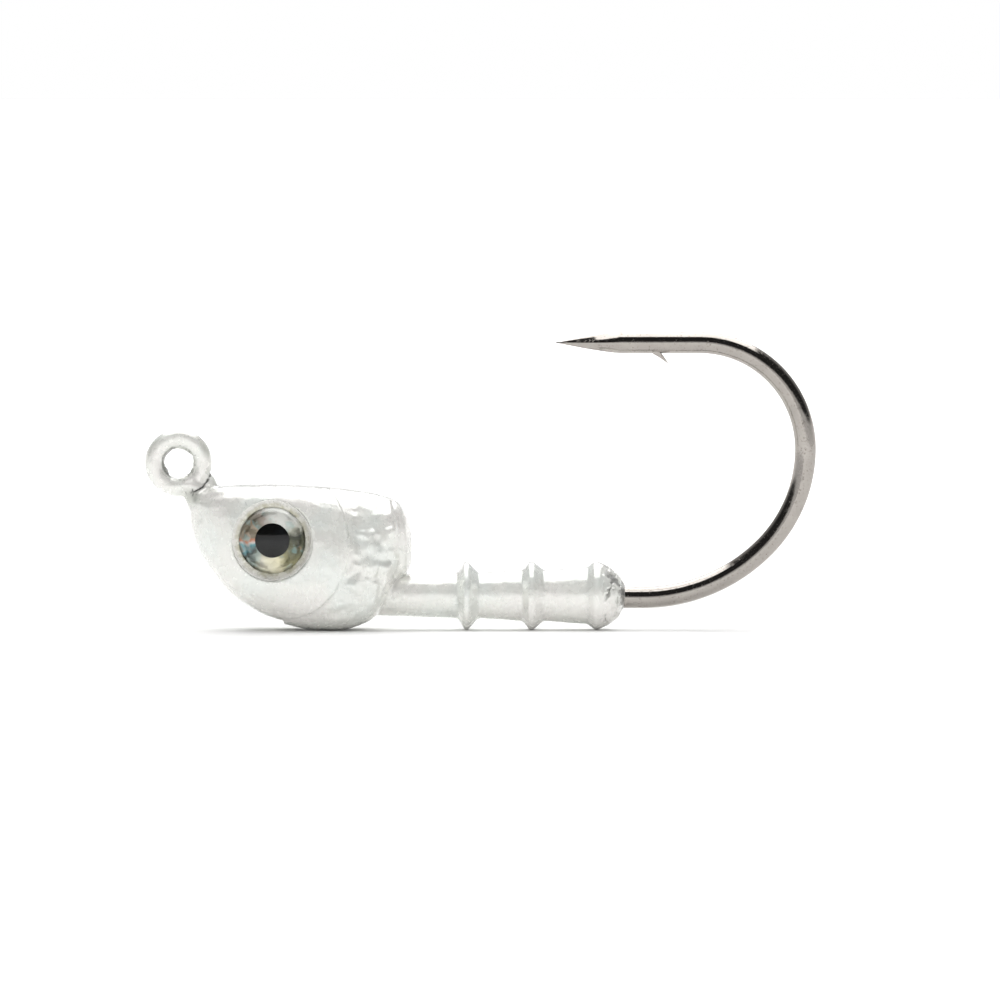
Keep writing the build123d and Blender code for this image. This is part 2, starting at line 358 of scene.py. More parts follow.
def iris_foil_finish():
    """Silver foil; painted reflections by angle round the pupil: white top, dark olive right, cream
    below, orange and teal left.
    """
    material, tree, shader, place = new_finish("iris_foil")
    inputs = {"Vector": place, "Rotation": (math.radians(90), 0, 0), "Location": (-EYE.x, EYE.z, 0)}
    centred = add_node(tree, "ShaderNodeMapping", inputs).outputs["Vector"]
    clock = add_node(tree, "ShaderNodeTexGradient", {"Vector": centred}, gradient_type="RADIAL")
    sway = maths(tree, "MULTIPLY", maths(tree, "SUBTRACT", cloud(tree, place, 1.1, 3.0), 0.5), 0.16)
    swayed = maths(tree, "ADD", clock.outputs["Fac"], maths(tree, "ADD", sway, 1.0))
    turned = maths(tree, "FRACT", swayed)
    # painted reflections: this ramp paints the foil's highlights and dark side by the angle round
    # the pupil, a white painted highlight across the top, dark olive on the right, a cream painted
    # highlight at the bottom, orange and teal on the left
    painted_reflections = add_node(tree, "ShaderNodeValToRGB", {"Fac": turned})
    ramp = painted_reflections.color_ramp
    ramp.elements[0].position = 0.0
    ramp.elements[0].color = (0.70, 0.26, 0.14, 1)
    ramp.elements[1].position = 1.0
    ramp.elements[1].color = (0.70, 0.26, 0.14, 1)
    for position, colour in (
        (0.03, (0.32, 0.26, 0.18, 1)), (0.10, (0.19, 0.17, 0.12, 1)), (0.17, (0.46, 0.40, 0.35, 1)),
        (0.24, (0.95, 0.96, 0.91, 1)), (0.38, (0.98, 0.98, 0.93, 1)), (0.43, (0.62, 0.62, 0.52, 1)),
        (0.47, (0.04, 0.045, 0.02, 1)), (0.57, (0.15, 0.155, 0.08, 1)),
        (0.64, (0.46, 0.43, 0.22, 1)),
        (0.69, (0.93, 0.87, 0.60, 1)), (0.80, (0.90, 0.86, 0.68, 1)), (0.86, (0.20, 0.24, 0.18, 1)),
        (0.91, (0.07, 0.10, 0.09, 1)), (0.95, (0.16, 0.45, 0.50, 1)),
        (0.975, (0.82, 0.82, 0.78, 1)),
    ):
        ramp.elements.new(position).color = colour
    patches = add_node(tree, "ShaderNodeTexVoronoi", {"Vector": centred, "Scale": 1.1})
    hue = add_node(tree, "ShaderNodeSeparateColor", {"Color": patches.outputs["Color"]})
    rainbow = add_node(tree, "ShaderNodeValToRGB", {"Fac": hue.outputs["Red"]})
    rainbow.color_ramp.elements[0].color = (0.80, 0.46, 0.24, 1)
    rainbow.color_ramp.elements[1].color = (0.32, 0.60, 0.58, 1)
    rainbow.color_ramp.elements.new(0.5).color = (0.75, 0.76, 0.70, 1)
    share = rise(tree, cloud(tree, place, 1.6, 3.0), 0.5, 0.64, 0.0, 0.5)
    tree.links.new(
        blend_colour(tree, share, painted_reflections.outputs["Color"], rainbow.outputs["Color"]),
        shader.inputs["Base Color"],
    )
    shader.inputs["Metallic"].default_value = 0.3
    shader.inputs["Roughness"].default_value = 0.22
    relief(tree, shader, patches.outputs["Distance"], 0.0002, 0.4)
    return material


def pupil_ink_finish():
    """Black gloss ink with a faint blue-grey bloom."""
    material, tree, shader, place = new_finish("pupil_ink")
    bloom = rise(tree, cloud(tree, place, 1.1, 3.0), 0.45, 0.7)
    tree.links.new(
        blend_colour(tree, bloom, (0.003, 0.003, 0.003, 1), (0.007, 0.008, 0.01, 1)),
        shader.inputs["Base Color"],
    )
    shader.inputs["Roughness"].default_value = 0.4
    shader.inputs["Specular IOR Level"].default_value = 0.03
    relief(tree, shader, cloud(tree, place, 4.0, 2.0), 0.00001, 0.4)
    return material


def clear_resin_finish():
    """Clear domed resin with hair scratches too fine to see singly."""
    material, tree, shader, place = new_finish("clear_resin")
    tree.links.new(
        blend_colour(tree, cloud(tree, place, 1.0), (0.97, 0.98, 0.98, 1), (1.0, 1.0, 1.0, 1)),
        shader.inputs["Base Color"],
    )
    shader.inputs["Transmission Weight"].default_value = 1.0
    shader.inputs["IOR"].default_value = 1.5
    gloss = rise(tree, cloud(tree, place, 6.0, 4.0), 0.4, 0.7, 0.0, 0.03)
    tree.links.new(gloss, shader.inputs["Roughness"])
    relief(tree, shader, cloud(tree, place, 0.8, 1.0), 0.00001, 0.4)
    return material


def glue_finish():
    """Aged clear glue, yellow to olive, cloudy and pitted where it met dust."""
    material, tree, shader, place = new_finish("aged_glue")
    cloudy = cloud(tree, place, 2.0, 4.0, 0.6)
    tone = blend_colour(
        tree, rise(tree, cloudy, 0.36, 0.62), (0.62, 0.60, 0.48, 1), (0.80, 0.79, 0.71, 1)
    )
    inputs = {"Vector": place, "Scale": (1, 0, 1), "Location": (-EYE.x, 0, -EYE.z)}
    centred = add_node(tree, "ShaderNodeMapping", inputs).outputs["Vector"]
    measure = add_node(tree, "ShaderNodeVectorMath", {0: centred}, operation="LENGTH")
    reach = measure.outputs["Value"]
    wander = maths(tree, "ADD", reach, maths(tree, "MULTIPLY", cloudy, 0.3))
    thin = rise(tree, wander, 2.78, 3.12)
    edge = rise(tree, wander, 2.56, 2.76, 1.0, 0.0)
    olive = blend_colour(tree, edge, tone, (0.36, 0.35, 0.21, 1))
    tree.links.new(
        blend_colour(tree, thin, olive, (0.83, 0.82, 0.78, 1)), shader.inputs["Base Color"]
    )
    shader.inputs["Transmission Weight"].default_value = 0.12
    shader.inputs["IOR"].default_value = 1.48
    tree.links.new(rise(tree, cloudy, 0.3, 0.7, 0.12, 0.35), shader.inputs["Roughness"])
    bubbles = add_node(tree, "ShaderNodeTexVoronoi", {"Vector": place, "Scale": 2.6})
    pocks = relief(tree, shader, rise(tree, bubbles.outputs["Distance"], 0.1, 0.3), 0.0001, 0.5)
    relief(tree, shader, cloud(tree, place, 3.0, 4.0, 0.6), 0.00012, 0.6, pocks)
    return material


def foam_tape_finish():
    """White foam tape with its open cells."""
    material, tree, shader, place = new_finish("foam_tape")
    cells = add_node(tree, "ShaderNodeTexVoronoi", {"Vector": place, "Scale": 7.0})
    tree.links.new(
        blend_colour(tree, cells.outputs["Distance"], (0.82, 0.82, 0.8, 1), (0.5, 0.5, 0.49, 1)),
        shader.inputs["Base Color"],
    )
    shader.inputs["Roughness"].default_value = 0.9
    relief(tree, shader, cells.outputs["Distance"], 0.00005, 0.6)
    return material


pearl_paint = pearl_paint_finish()
black_nickel = black_nickel_finish()
bare_lead = bare_lead_finish()
iris_foil = iris_foil_finish()
pupil_ink = pupil_ink_finish()
clear_resin = clear_resin_finish()
aged_glue = glue_finish()
foam_tape = foam_tape_finish()


# ---------------------------------------------------------------- hook
def bent_wire():
    """The hook's wire, from the riser round to the point, drawn out run by run and arc by arc."""
    form = bmesh.new()
    down = Vector((math.cos(math.radians(RISER_ANGLE)), 0, -math.sin(math.radians(RISER_ANGLE))))
    start = LOOP + down * LOOP_R
    setback = FOOT_R * math.tan(math.radians(RISER_ANGLE / 2))
    riser_run = (Vector((CORNER_X, 0, SHANK_Z)) - start).length - setback
    ring = bmesh.ops.create_circle(form, cap_ends=False, radius=EYE_WIRE_R, segments=40)["verts"]
    turn = Matrix.Rotation(math.radians(90 + RISER_ANGLE), 3, "Y")
    bmesh.ops.rotate(form, cent=(0, 0, 0), matrix=turn, verts=ring)
    bmesh.ops.translate(form, vec=start, verts=ring)
    bmesh.ops.contextual_create(form, geom=ring)
    edges = [edge for edge in form.edges]
    here = start.copy()
    # the wire swells from the thinner loop to its full size
    for share in (0.2, 1.0):
        edges, ring = extrude_ring(form, edges)
        swell = 1 + (WIRE_R / EYE_WIRE_R - 1) * 0.5
        bmesh.ops.translate(form, vec=down * riser_run * 0.2, verts=ring)
        here = here + down * riser_run * 0.2
        swell = swell if share < 1 else WIRE_R / (EYE_WIRE_R * swell)
        bmesh.ops.scale(form, vec=(swell,) * 3, space=Matrix.Translation(-here), verts=ring)
    edges, ring = extrude_ring(form, edges)
    bmesh.ops.translate(form, vec=down * riser_run * 0.6, verts=ring)
    foot_centre = (CORNER_X + setback, 0, SHANK_Z + FOOT_R)
    edges = turn_wire(form, edges, foot_centre, RISER_ANGLE, 16)
    heel_x = BACK_X - BACK_R * (1 - math.cos(HEEL_TURN)) - HEEL_R * math.sin(HEEL_TURN)
    edges, ring = extrude_ring(form, edges)
    bmesh.ops.translate(form, vec=(heel_x - CORNER_X - setback, 0, 0), verts=ring)
    edges = turn_wire(form, edges, (heel_x, 0, SHANK_Z + HEEL_R), 45, 28)
    back_z = SHANK_Z + HEEL_R * (1 - math.cos(HEEL_TURN)) + BACK_R * math.sin(HEEL_TURN)
    edges = turn_wire(form, edges, (BACK_X - BACK_R, 0, back_z), 45, 28)
    edges = turn_wire(form, edges, (BACK_X - CROWN_R, 0, back_z), 90, 48)
    edges, ring = extrude_ring(form, edges)
    bmesh.ops.translate(form, vec=(POINT_TAPER - POINT_ARM, 0, 0), verts=ring)
    return form, edges, Vector((BACK_X - CROWN_R + POINT_TAPER - POINT_ARM, 0, back_z + CROWN_R))


def turn_wire(form, edges, centre, degrees, steps):
    """Bends the wire on round a centre, towards the point."""
    made = bmesh.ops.spin(
        form, geom=edges, cent=centre, axis=(0, -1, 0), angle=math.radians(degrees), steps=steps,
    )["geom_last"]
    return [item for item in made if isinstance(item, bmesh.types.BMEdge)]


def grind_point(form, edges, base):
    """A long taper, ground to flat faces that meet in a ridge along each side."""
    here = base.copy()
    steps = 14
    size = 1.0
    for step in range(1, steps + 1):
        share = step / steps
        edges, ring = extrude_ring(form, edges)
        move = Vector((-POINT_TAPER / steps, 0, 0))
        bmesh.ops.translate(form, vec=move, verts=ring)
        here = here + move
        next_size = max(1.0 - share ** 1.25, 0.05)
        bmesh.ops.scale(
            form, vec=(1, next_size / size, next_size / size), space=Matrix.Translation(-here),
            verts=ring,
        )
        size = next_size
    for vert in form.verts:
        share = (base.x - vert.co.x) / POINT_TAPER
        if vert.co.z > base.z - 3 and share > 0 and abs(vert.co.y) < 2:
            reach = math.hypot(vert.co.y, vert.co.z - base.z)
            wide, tall = abs(vert.co.y) / reach, abs(vert.co.z - base.z) / reach
            diamond = 1 / (wide / 0.62 + tall)
            ground = min(share * 2.5, 1)
            vert.co.y *= 1 + (diamond - 1) * ground
            vert.co.z = base.z + (vert.co.z - base.z) * (1 + (diamond - 1) * ground)
    bmesh.ops.contextual_create(form, geom=ring)


def cut_barb(base):
    """A sliver raised from the underside of the wire, thin at its tip."""
    form = bmesh.new()
    tip_x = base.x - POINT_TAPER + 8.6
    under = base.z - WIRE_R
    outline = [
        (tip_x - 1.45, 0, under + 0.3), (tip_x - 1.3, 0, under + 0.0),
        (tip_x - 0.72, 0, under - 0.34),
        (tip_x, 0, under - 0.86), (tip_x - 0.36, 0, under - 0.34), (tip_x - 0.82, 0, under + 0.3),
    ]
    corners = [form.verts.new(point) for point in outline]
    face = form.faces.new(corners)
    grown = bmesh.ops.extrude_face_region(form, geom=[face])["geom"]
    far = [item for item in grown if isinstance(item, bmesh.types.BMVert)]
    bmesh.ops.translate(form, vec=(0, 0.9, 0), verts=far)
    bmesh.ops.translate(form, vec=(0, -0.45, 0), verts=form.verts)
    for vert in form.verts:
        vert.co.y *= 1 - 0.75 * min(max((under - vert.co.z) / 0.75, 0), 1)
    bmesh.ops.bevel(
        form, geom=form.edges[:], offset=0.05, affect="EDGES", segments=2, profile=0.5, material=-1,
    )
    tidy_skin(form)
    return form


def rolled_eye():
    """The thinner wire rolled round into the line eye, its cut end just clear of the riser."""
    form = bmesh.new()
    gap = math.degrees((WIRE_R + 0.16) / LOOP_R)
    down = Vector((math.cos(math.radians(RISER_ANGLE)), 0, -math.sin(math.radians(RISER_ANGLE))))
    ring = bmesh.ops.create_circle(form, cap_ends=False, radius=EYE_WIRE_R, segments=32)["verts"]
    turn = Matrix.Rotation(math.radians(RISER_ANGLE), 3, "Y")
    bmesh.ops.rotate(form, cent=(0, 0, 0), matrix=turn, verts=ring)
    bmesh.ops.translate(form, vec=LOOP + down * LOOP_R, verts=ring)
    bmesh.ops.contextual_create(form, geom=ring)
    edges = [edge for edge in form.edges]
    last = turn_wire(form, edges, LOOP, gap - 360, 72)
    bmesh.ops.contextual_create(form, geom=last)
    tidy_skin(form)
    return form


def make_hook():
    form, edges, base = bent_wire()
    grind_point(form, edges, base)
    tidy_skin(form)
    return join_forms(form, rolled_eye(), cut_barb(base))


new_piece("hook_wire", make_hook(), black_nickel, "hook_wire", "hook")

# ---------------------------------------------------------------- casting
# Head from nose to tail: shares of its length, of its height (top and bottom) and of its width.
HEAD_STATIONS = np.array([
    (0.004, 0.872, 0.700, 0.18), (0.032, 0.925, 0.565, 0.36), (0.086, 0.955, 0.420, 0.54),
    (0.171, 0.975, 0.246, 0.75), (0.274, 0.982, 0.132, 0.89), (0.428, 0.982, 0.043, 0.98),
    (0.600, 0.968, 0.002, 1.00), (0.750, 0.942, 0.026, 0.95), (0.860, 0.910, 0.125, 0.83),
    (0.945, 0.845, 0.350, 0.60), (0.978, 0.765, 0.385, 0.40), (0.998, 0.660, 0.460, 0.20),
])


def station_at(along):
    """Top, bottom and width of the head at a share of its length, on smooth curves."""
    places = HEAD_STATIONS[:, 0]
    slopes = np.gradient(HEAD_STATIONS[:, 1:], places, axis=0)
    row = int(np.clip(np.searchsorted(places, along) - 1, 0, len(places) - 2))
    span = places[row + 1] - places[row]
    t = (along - places[row]) / span
    near, far = HEAD_STATIONS[row, 1:], HEAD_STATIONS[row + 1, 1:]
    return (
        near * (1 + 2 * t) * (1 - t) ** 2 + slopes[row] * span * t * (1 - t) ** 2
        + far * t * t * (3 - 2 * t) + slopes[row + 1] * span * t * t * (t - 1)
    )


def head_bar():
    """The head's body, drawn out section by section from the nose."""
    form = bmesh.new()
    ring = bmesh.ops.create_circle(form, cap_ends=False, radius=1.0, segments=64)["verts"]
    for vert in ring:
        across, up = vert.co.x, vert.co.y
        vert.co = (
            0,
            math.copysign(abs(across) ** 0.773, across),
            math.copysign(abs(up) ** 0.773, up),
        )
    bmesh.ops.contextual_create(form, geom=ring)
    edges = [edge for edge in form.edges]
    x, middle, wide, tall = 0.0, 0.0, 1.0, 1.0
    for along in np.linspace(HEAD_STATIONS[0, 0], HEAD_STATIONS[-1, 0], 46):
        top, bottom, width = station_at(along)
        new_x = NOSE_X + HEAD_LENGTH * along
        new_middle = BELLY_Z + HEAD_HEIGHT * (top + bottom) / 2
        new_wide = HEAD_HALF_WIDTH * width
        new_tall = HEAD_HEIGHT * (top - bottom) / 2
        if x:
            edges, ring = extrude_ring(form, edges)
        bmesh.ops.translate(form, vec=(new_x - x, 0, new_middle - middle), verts=ring)
        bmesh.ops.scale(
            form, vec=(1, new_wide / wide, new_tall / tall), verts=ring,
            space=Matrix.Translation((-new_x, 0, -new_middle)),
        )
        x, middle, wide, tall = new_x, new_middle, new_wide, new_tall
    bmesh.ops.contextual_create(form, geom=ring)
    tidy_skin(form)
    for vert in form.verts:
        top, bottom, width = station_at((vert.co.x - NOSE_X) / HEAD_LENGTH)
        middle = BELLY_Z + HEAD_HEIGHT * (top + bottom) / 2
        up = (vert.co.z - middle) / (HEAD_HEIGHT * (top - bottom) / 2)
        across = vert.co.y / (HEAD_HALF_WIDTH * width)
        ceiling, ground, widest, corner = cheek_section(vert.co.x)
        if up > 0:
            up = up ** (corner / 0.773)
            across = math.copysign(abs(across) ** (corner / 0.773), across)
        vert.co.y = across * HEAD_HALF_WIDTH * width
        vert.co.z = widest + up * (ceiling - widest if up > 0 else widest - ground)
    return form


def cheek_section(x):
    """Top, bottom and widest height of the head there, and how square its upper corner is.

    The cheeks are flat, lean back a little and have a square shoulder; behind them it is rounder.
    """
    top, bottom = station_at((x - NOSE_X) / HEAD_LENGTH)[:2]
    ceiling = BELLY_Z + HEAD_HEIGHT * top
    ground = BELLY_Z + HEAD_HEIGHT * bottom
    low_cheek = 0.13 * float(soft_step(x, -21.5, -17.0) * soft_step(x, -6.0, -9.5))
    widest = (ceiling + ground) / 2 - low_cheek * (ceiling - ground)
    corner = 0.63 + 0.2 * float(soft_step(x, -15.0, -10.0))
    return ceiling, ground, widest, corner


def flank_at(x, z):
    """How far the painted flank stands from the middle plane."""
    ceiling, ground, widest, corner = cheek_section(x)
    above = z > widest
    up = min(abs(z - widest) / (ceiling - widest if above else widest - ground), 1)
    power = 2 / (corner if above else 0.773)
    width = station_at((x - NOSE_X) / HEAD_LENGTH)[2]
    return HEAD_HALF_WIDTH * width * (1 - up ** power) ** (1 / power) + 0.2


def keeper_outline(skin):
    """Half outline of the bait keeper: a core that thickens towards the tail, and three rings."""
    outline = [(RINGS[0] - 7.4, 0), (RINGS[0] - 7.4, CORE_R[0])]
    for ring, core in zip(RINGS, CORE_R[1:]):
        outline += [
            (ring - 0.7, core - skin), (ring - 0.15, RING_R - skin), (ring + 0.15, RING_R - skin),
        ]
        if ring != RINGS[-1]:
            outline.append((ring + 0.95, core - skin + 0.01))
    crest = RINGS[-1] + 0.15
    for share in (0.2, 0.4, 0.6, 0.8, 1.0):
        bulge = 0.2 * math.sin(math.pi * share)
        outline.append((
            crest + (TAIL_X - skin - crest) * share + 0.6 * bulge,
            RING_R - skin + (0.95 - RING_R) * share + 0.8 * bulge,
        ))
    outline.append((TAIL_X - skin, 0))
    return [(x, 0, KEEPER_Z + radius) for x, radius in outline]


def line_eye_neck():
    """Painted neck of the line eye, flared where it runs into the head."""
    form = bmesh.new()
    bmesh.ops.create_cone(
        form, cap_ends=True, cap_tris=False, segments=40, radius1=1.32, radius2=0.84, depth=3.4,
    )
    down = Vector((math.cos(math.radians(RISER_ANGLE)), 0, -math.sin(math.radians(RISER_ANGLE))))
    bmesh.ops.rotate(
        form, cent=(0, 0, 0), matrix=Matrix.Rotation(math.radians(RISER_ANGLE - 90), 3, "Y"),
        verts=form.verts,
    )
    bmesh.ops.translate(form, vec=LOOP + down * (LOOP_R + 1.5), verts=form.verts)
    return form


def flash_lump():
    """Small lump of flash where the ring's paint broke away from the head."""
    form = bmesh.new()
    bmesh.ops.create_uvsphere(form, u_segments=24, v_segments=16, radius=1.0)
    bmesh.ops.scale(form, vec=(0.5, 0.62, 0.92), verts=form.verts)
    bmesh.ops.rotate(
        form, cent=(0, 0, 0), matrix=Matrix.Rotation(math.radians(-22), 3, "Y"), verts=form.verts,
    )
    bmesh.ops.translate(form, vec=LOOP + Vector((2.42, 0, -1.62)), verts=form.verts)
    return form


def line_eye_ring():
    """Painted ring of the line eye."""
    form = bmesh.new()
    circle = bmesh.ops.create_circle(form, cap_ends=False, radius=EYE_WIRE_R + PAINT, segments=36)
    ring = circle["verts"]
    bmesh.ops.translate(form, vec=LOOP + Vector((LOOP_R, 0, 0)), verts=ring)
    bmesh.ops.spin(
        form, geom=form.verts[:] + form.edges[:], cent=LOOP, axis=(0, 1, 0), angle=math.tau,
        steps=72, use_merge=True,
    )
    tidy_skin(form)
    return form


def press_sockets(points):
    """Round socket for the lure eye in each flank."""
    from_eye = np.hypot(points[:, 0] - EYE.x, points[:, 2] - EYE.z)
    inside = soft_step(from_eye, SOCKET_R + 0.06, SOCKET_R - 0.08)
    side = np.sign(points[:, 1])
    deep = np.minimum(np.abs(points[:, 1]), SOCKET_FLOOR)
    points[:, 1] = side * (np.abs(points[:, 1]) * (1 - inside) + deep * inside)


def raise_gill_covers(points, normals):
    """The jaw and the gill covers stand proud of the body, with a crisp curved back edge."""
    oval = np.hypot((points[:, 0] + 14.9) / 4.93, (points[:, 2] - BELLY_Z - 6.67) / 5.63)
    inside = np.where(points[:, 0] < -14.9, 1.0, soft_step(oval, 1.018, 0.99))
    below = soft_step(-normals[:, 2], 0.35, 0.9)
    flank = soft_step(np.abs(normals[:, 1]), 0.1, 0.6)
    on_head = soft_step(points[:, 2], BELLY_Z + HEAD_HEIGHT + 0.35, BELLY_Z + HEAD_HEIGHT - 0.4)
    jaw = soft_step(points[:, 0], -21.6, -18.5)
    lift = inside * on_head * jaw * (0.22 * flank - 0.2 * below)
    return lift


def scale_relief(points, normals):
    """Rows of soft scales on the body behind the gill covers."""
    across = (points[:, 0] + 8.3) / 1.45
    up = (points[:, 2] - BELLY_Z - 6.2) / 1.35
    crests = np.cos(np.pi * (across + up)) * np.cos(np.pi * (across - up))
    oval = np.hypot((points[:, 0] + 14.9) / 4.93, (points[:, 2] - BELLY_Z - 6.67) / 5.63)
    behind = soft_step(oval, 1.03, 1.16) * soft_step(points[:, 0], -13.5, -10.6)
    before = soft_step(points[:, 0], -5.9, -6.8)
    flank = soft_step(np.abs(normals[:, 1]), 0.5, 0.8)
    rough = lumps(points, 1.25, 6.1) + 0.5 * lumps(points, 0.6, 2.2)
    fading = 1 - 0.65 * soft_step(points[:, 2], BELLY_Z + 7.6, BELLY_Z + 9.6)
    return (0.08 * crests + 0.19 * rough) * behind * before * flank * fading


def sculpt_casting(mesh):
    """Everything the mould and the paint left on the casting's skin, and masks of cracks and
    painted shade.
    """
    points = get_points(mesh)
    normals = get_normals(mesh)
    lift = raise_gill_covers(points, normals)
    lift += scale_relief(points, normals)
    # lip round the back of the head
    lip_x = -6.0 - 0.055 * (points[:, 2] - BELLY_Z - 6.4) ** 2
    lip = np.exp(-((points[:, 0] - lip_x) / 0.14) ** 2) * soft_step(np.abs(points[:, 1]), 0.6, 1.4)
    head_back = soft_step(points[:, 2], BELLY_Z + 3.8, BELLY_Z + 4.8)
    rim = soft_step(points[:, 0], lip_x + 0.12, lip_x + 0.38) * soft_step(points[:, 0], -4.9, -5.4)
    lift += (0.1 * rim - 0.13 * lip) * head_back
    # wrinkled paint over the nose
    wrinkle = lumps(points * (0.7, 1.0, 2.2), 1.0, 3.1)
    on_top = soft_step(points[:, 2], BELLY_Z + 9.0, BELLY_Z + 9.8)
    nose = soft_step(points[:, 0], -18.2, -19.2) * on_top
    ring_clear = soft_step(points[:, 2], LOOP.z - 1.4, LOOP.z - 1.9)
    lift += 0.09 * wrinkle * nose * ring_clear
    # slow unevenness of a hand dipped coat
    lift += 0.028 * lumps(points, 2.1, 9.4) + 0.012 * lumps(points, 0.7, 5.2)
    points += normals * lift[:, None]
    press_sockets(points)
    # ragged edge where the hole of the line eye was cleared of paint
    from_loop = np.hypot(points[:, 0] - LOOP.x, points[:, 2] - LOOP.z)
    bore = soft_step(from_loop, 1.5, 1.2) * (np.abs(points[:, 1]) < 1.0)
    ragged = lumps(points, 0.8, 7.7) * 0.16 + lumps(points, 0.25, 2.7) * 0.07
    outward = np.column_stack((points[:, 0] - LOOP.x, 0 * from_loop, points[:, 2] - LOOP.z))
    points += outward / np.maximum(from_loop, 0.2)[:, None] * (bore * (ragged - 0.06))[:, None]
    # paint thins out in patches over the tail
    tail = soft_step(points[:, 0], RINGS[-1] + 0.35, RINGS[-1] + 1.0)
    paint_to_lead = lumps(points, 0.6, 4.4) + 0.5 * lumps(points, 0.2, 8.4)
    paint_to_lead -= 0.35 * soft_step(points[:, 2], KEEPER_Z + 0.6, KEEPER_Z + 1.8)
    patch = soft_step(paint_to_lead, -0.3, -0.2)
    along = points[:, 0] + 0.25 * lumps(points, 0.4, 1.9)
    keep = patch * soft_step(along, TAIL_X - 0.3, TAIL_X - 0.42)
    radial = points - np.array((0, 0, KEEPER_Z))
    radial[:, 0] = 0
    length = np.maximum(np.linalg.norm(radial, axis=1), 0.2)[:, None]
    points += radial / length * (tail * (keep * 0.05 - (1 - keep) * 0.13))[:, None]
    set_points(mesh, points)
    # painted shade for the finish: a band on the outer top of the line eye's ring, the inner wall
    # of its hole and the neck where it meets the head are marked to be greyed, and the hole's
    # lower-left wall to be drawn as dark lead
    from_loop = np.hypot(points[:, 0] - LOOP.x, points[:, 2] - LOOP.z)
    outer = soft_step(from_loop, 2.05, 2.4) * soft_step(points[:, 2], LOOP.z - 0.6, LOOP.z + 0.9)
    band = outer * (0.5 + 0.5 * lumps(points, 0.8, 1.3)) * (from_loop < 3.0)
    wall = soft_step(from_loop, 1.34, 1.22) * (np.abs(points[:, 1]) < 1.0)
    neck_from = np.hypot(points[:, 0] + 22.0, points[:, 2] - BELLY_Z - 10.1)
    neck = soft_step(neck_from, 1.1, 0.2)
    store_mask(mesh, "painted_shade", 0.45 * band + 0.55 * wall + 0.55 * neck)
    store_mask(mesh, "wall_shade", 0.8 * wall * soft_step(points[:, 0], LOOP.x + 0.4, LOOP.x - 0.6))
    turn = np.degrees(np.arctan2(points[:, 2] - LOOP.z, points[:, 0] - LOOP.x))
    arc = soft_step(turn, -72, -64) * soft_step(turn, -7, -12)
    wander = 0.09 * lumps(points, 0.5, 5.5)
    seam = np.abs(from_loop + wander - 2.56 + 0.006 * np.maximum(-turn - 45, 0))
    crack = arc * soft_step(seam, 0.1, 0.03) * soft_step(lumps(points, 0.3, 3.3), -0.55, -0.2)
    pits = soft_step(lumps(points, 0.17, 6.6), 0.3, 0.42) * soft_step(seam, 0.42, 0.15)
    pits = pits * soft_step(turn, -84, -76) * soft_step(turn, -50, -58)
    specks = soft_step(lumps(points, 0.15, 9.1), 0.34, 0.46) * soft_step(from_loop, 1.55, 1.25)
    specks *= (np.abs(points[:, 1]) < 1.0)
    store_mask(mesh, "crack", np.maximum(np.maximum(crack, pits), 0.8 * specks))


def make_casting():
    blanks = join_forms(
        head_bar(),
        spun(keeper_outline(0.0), (0, 0, KEEPER_Z), (1, 0, 0), 96),
        line_eye_neck(),
        line_eye_ring(),
        flash_lump(),
    )
    mesh = one_skin(blanks, 0.095, 6)
    sculpt_casting(mesh)
    return mesh


new_piece("pearl_casting", make_casting(), pearl_paint, "pearl_paint", "head_paint", "eye_paint")

# ---------------------------------------------------------------- bare end of the casting
tail_form = spun(
    [point for point in keeper_outline(0.05) if point[0] > RINGS[-1] - 0.3 and point[2] > KEEPER_Z]
    + [(TAIL_X - 0.05, 0, KEEPER_Z)],
    (0, 0, KEEPER_Z), (1, 0, 0), 96,
)
bmesh.ops.holes_fill(tail_form, edges=[edge for edge in tail_form.edges if edge.is_boundary])
tidy_skin(tail_form)
new_piece("bare_tail", tail_form, bare_lead, "lead", "lead_head")


# ---------------------------------------------------------------- lure eyes
def spun_on_eye(outline, side, steps=96):
    """A disc or dome on the lure eye's axis, from an outline of (radius, distance out)."""
    points = [(EYE.x + radius, side * out, EYE.z) for radius, out in outline]
    return spun(points, (EYE.x, 0, EYE.z), (0, 1, 0), steps)


def resin_dome(side):
    edge_y = -foil_low.y + 0.3
    crown_y = -lens_low.y
    back = -foil_high.y
    outline = [(0, back + 0.04), (EYE_R - 0.03, back + 0.04), (EYE_R, back + 0.08)]
    rise_y = crown_y - edge_y
    dome_r = (EYE_R ** 2 + rise_y ** 2) / (2 * rise_y)
    half = math.asin(EYE_R / dome_r)
    for step in range(15):
        angle = half * (1 - step / 14)
        outline.append((dome_r * math.sin(angle), crown_y - dome_r + dome_r * math.cos(angle)))
    return spun_on_eye(outline, side)


def crinkled_foil(side):
    form = spun_on_eye(
        [(0, -foil_high.y + 0.01), (2.42, -foil_high.y + 0.01), (2.42, -foil_low.y)]
        + [(radius, -foil_low.y) for radius in (2.0, 1.6, 1.2, 0.8, 0.4, 0)], side,
    )
    for vert in form.verts:
        if abs(vert.co.y) > -foil_high.y + 0.05:
            vert.co.y += side * 0.025 * noise.noise(vert.co / 0.6)
    return form


def pupil_disc(side):
    edge = -foil_low.y - 0.03
    top = -pupil_low.y
    form = spun_on_eye([(0, edge), (1.18, edge), (1.18, top - 0.02), (1.15, top), (0, top)], side)
    for vert in form.verts:
        angle = math.atan2(vert.co.z - EYE.z, vert.co.x - EYE.x)
        wobble = 1 + 0.012 * noise.noise(Vector((math.cos(angle), math.sin(angle), 4.0)) * 2.5)
        vert.co.x = EYE.x + (vert.co.x - EYE.x) * wobble
        vert.co.z = EYE.z + (vert.co.z - EYE.z) * wobble
    return form


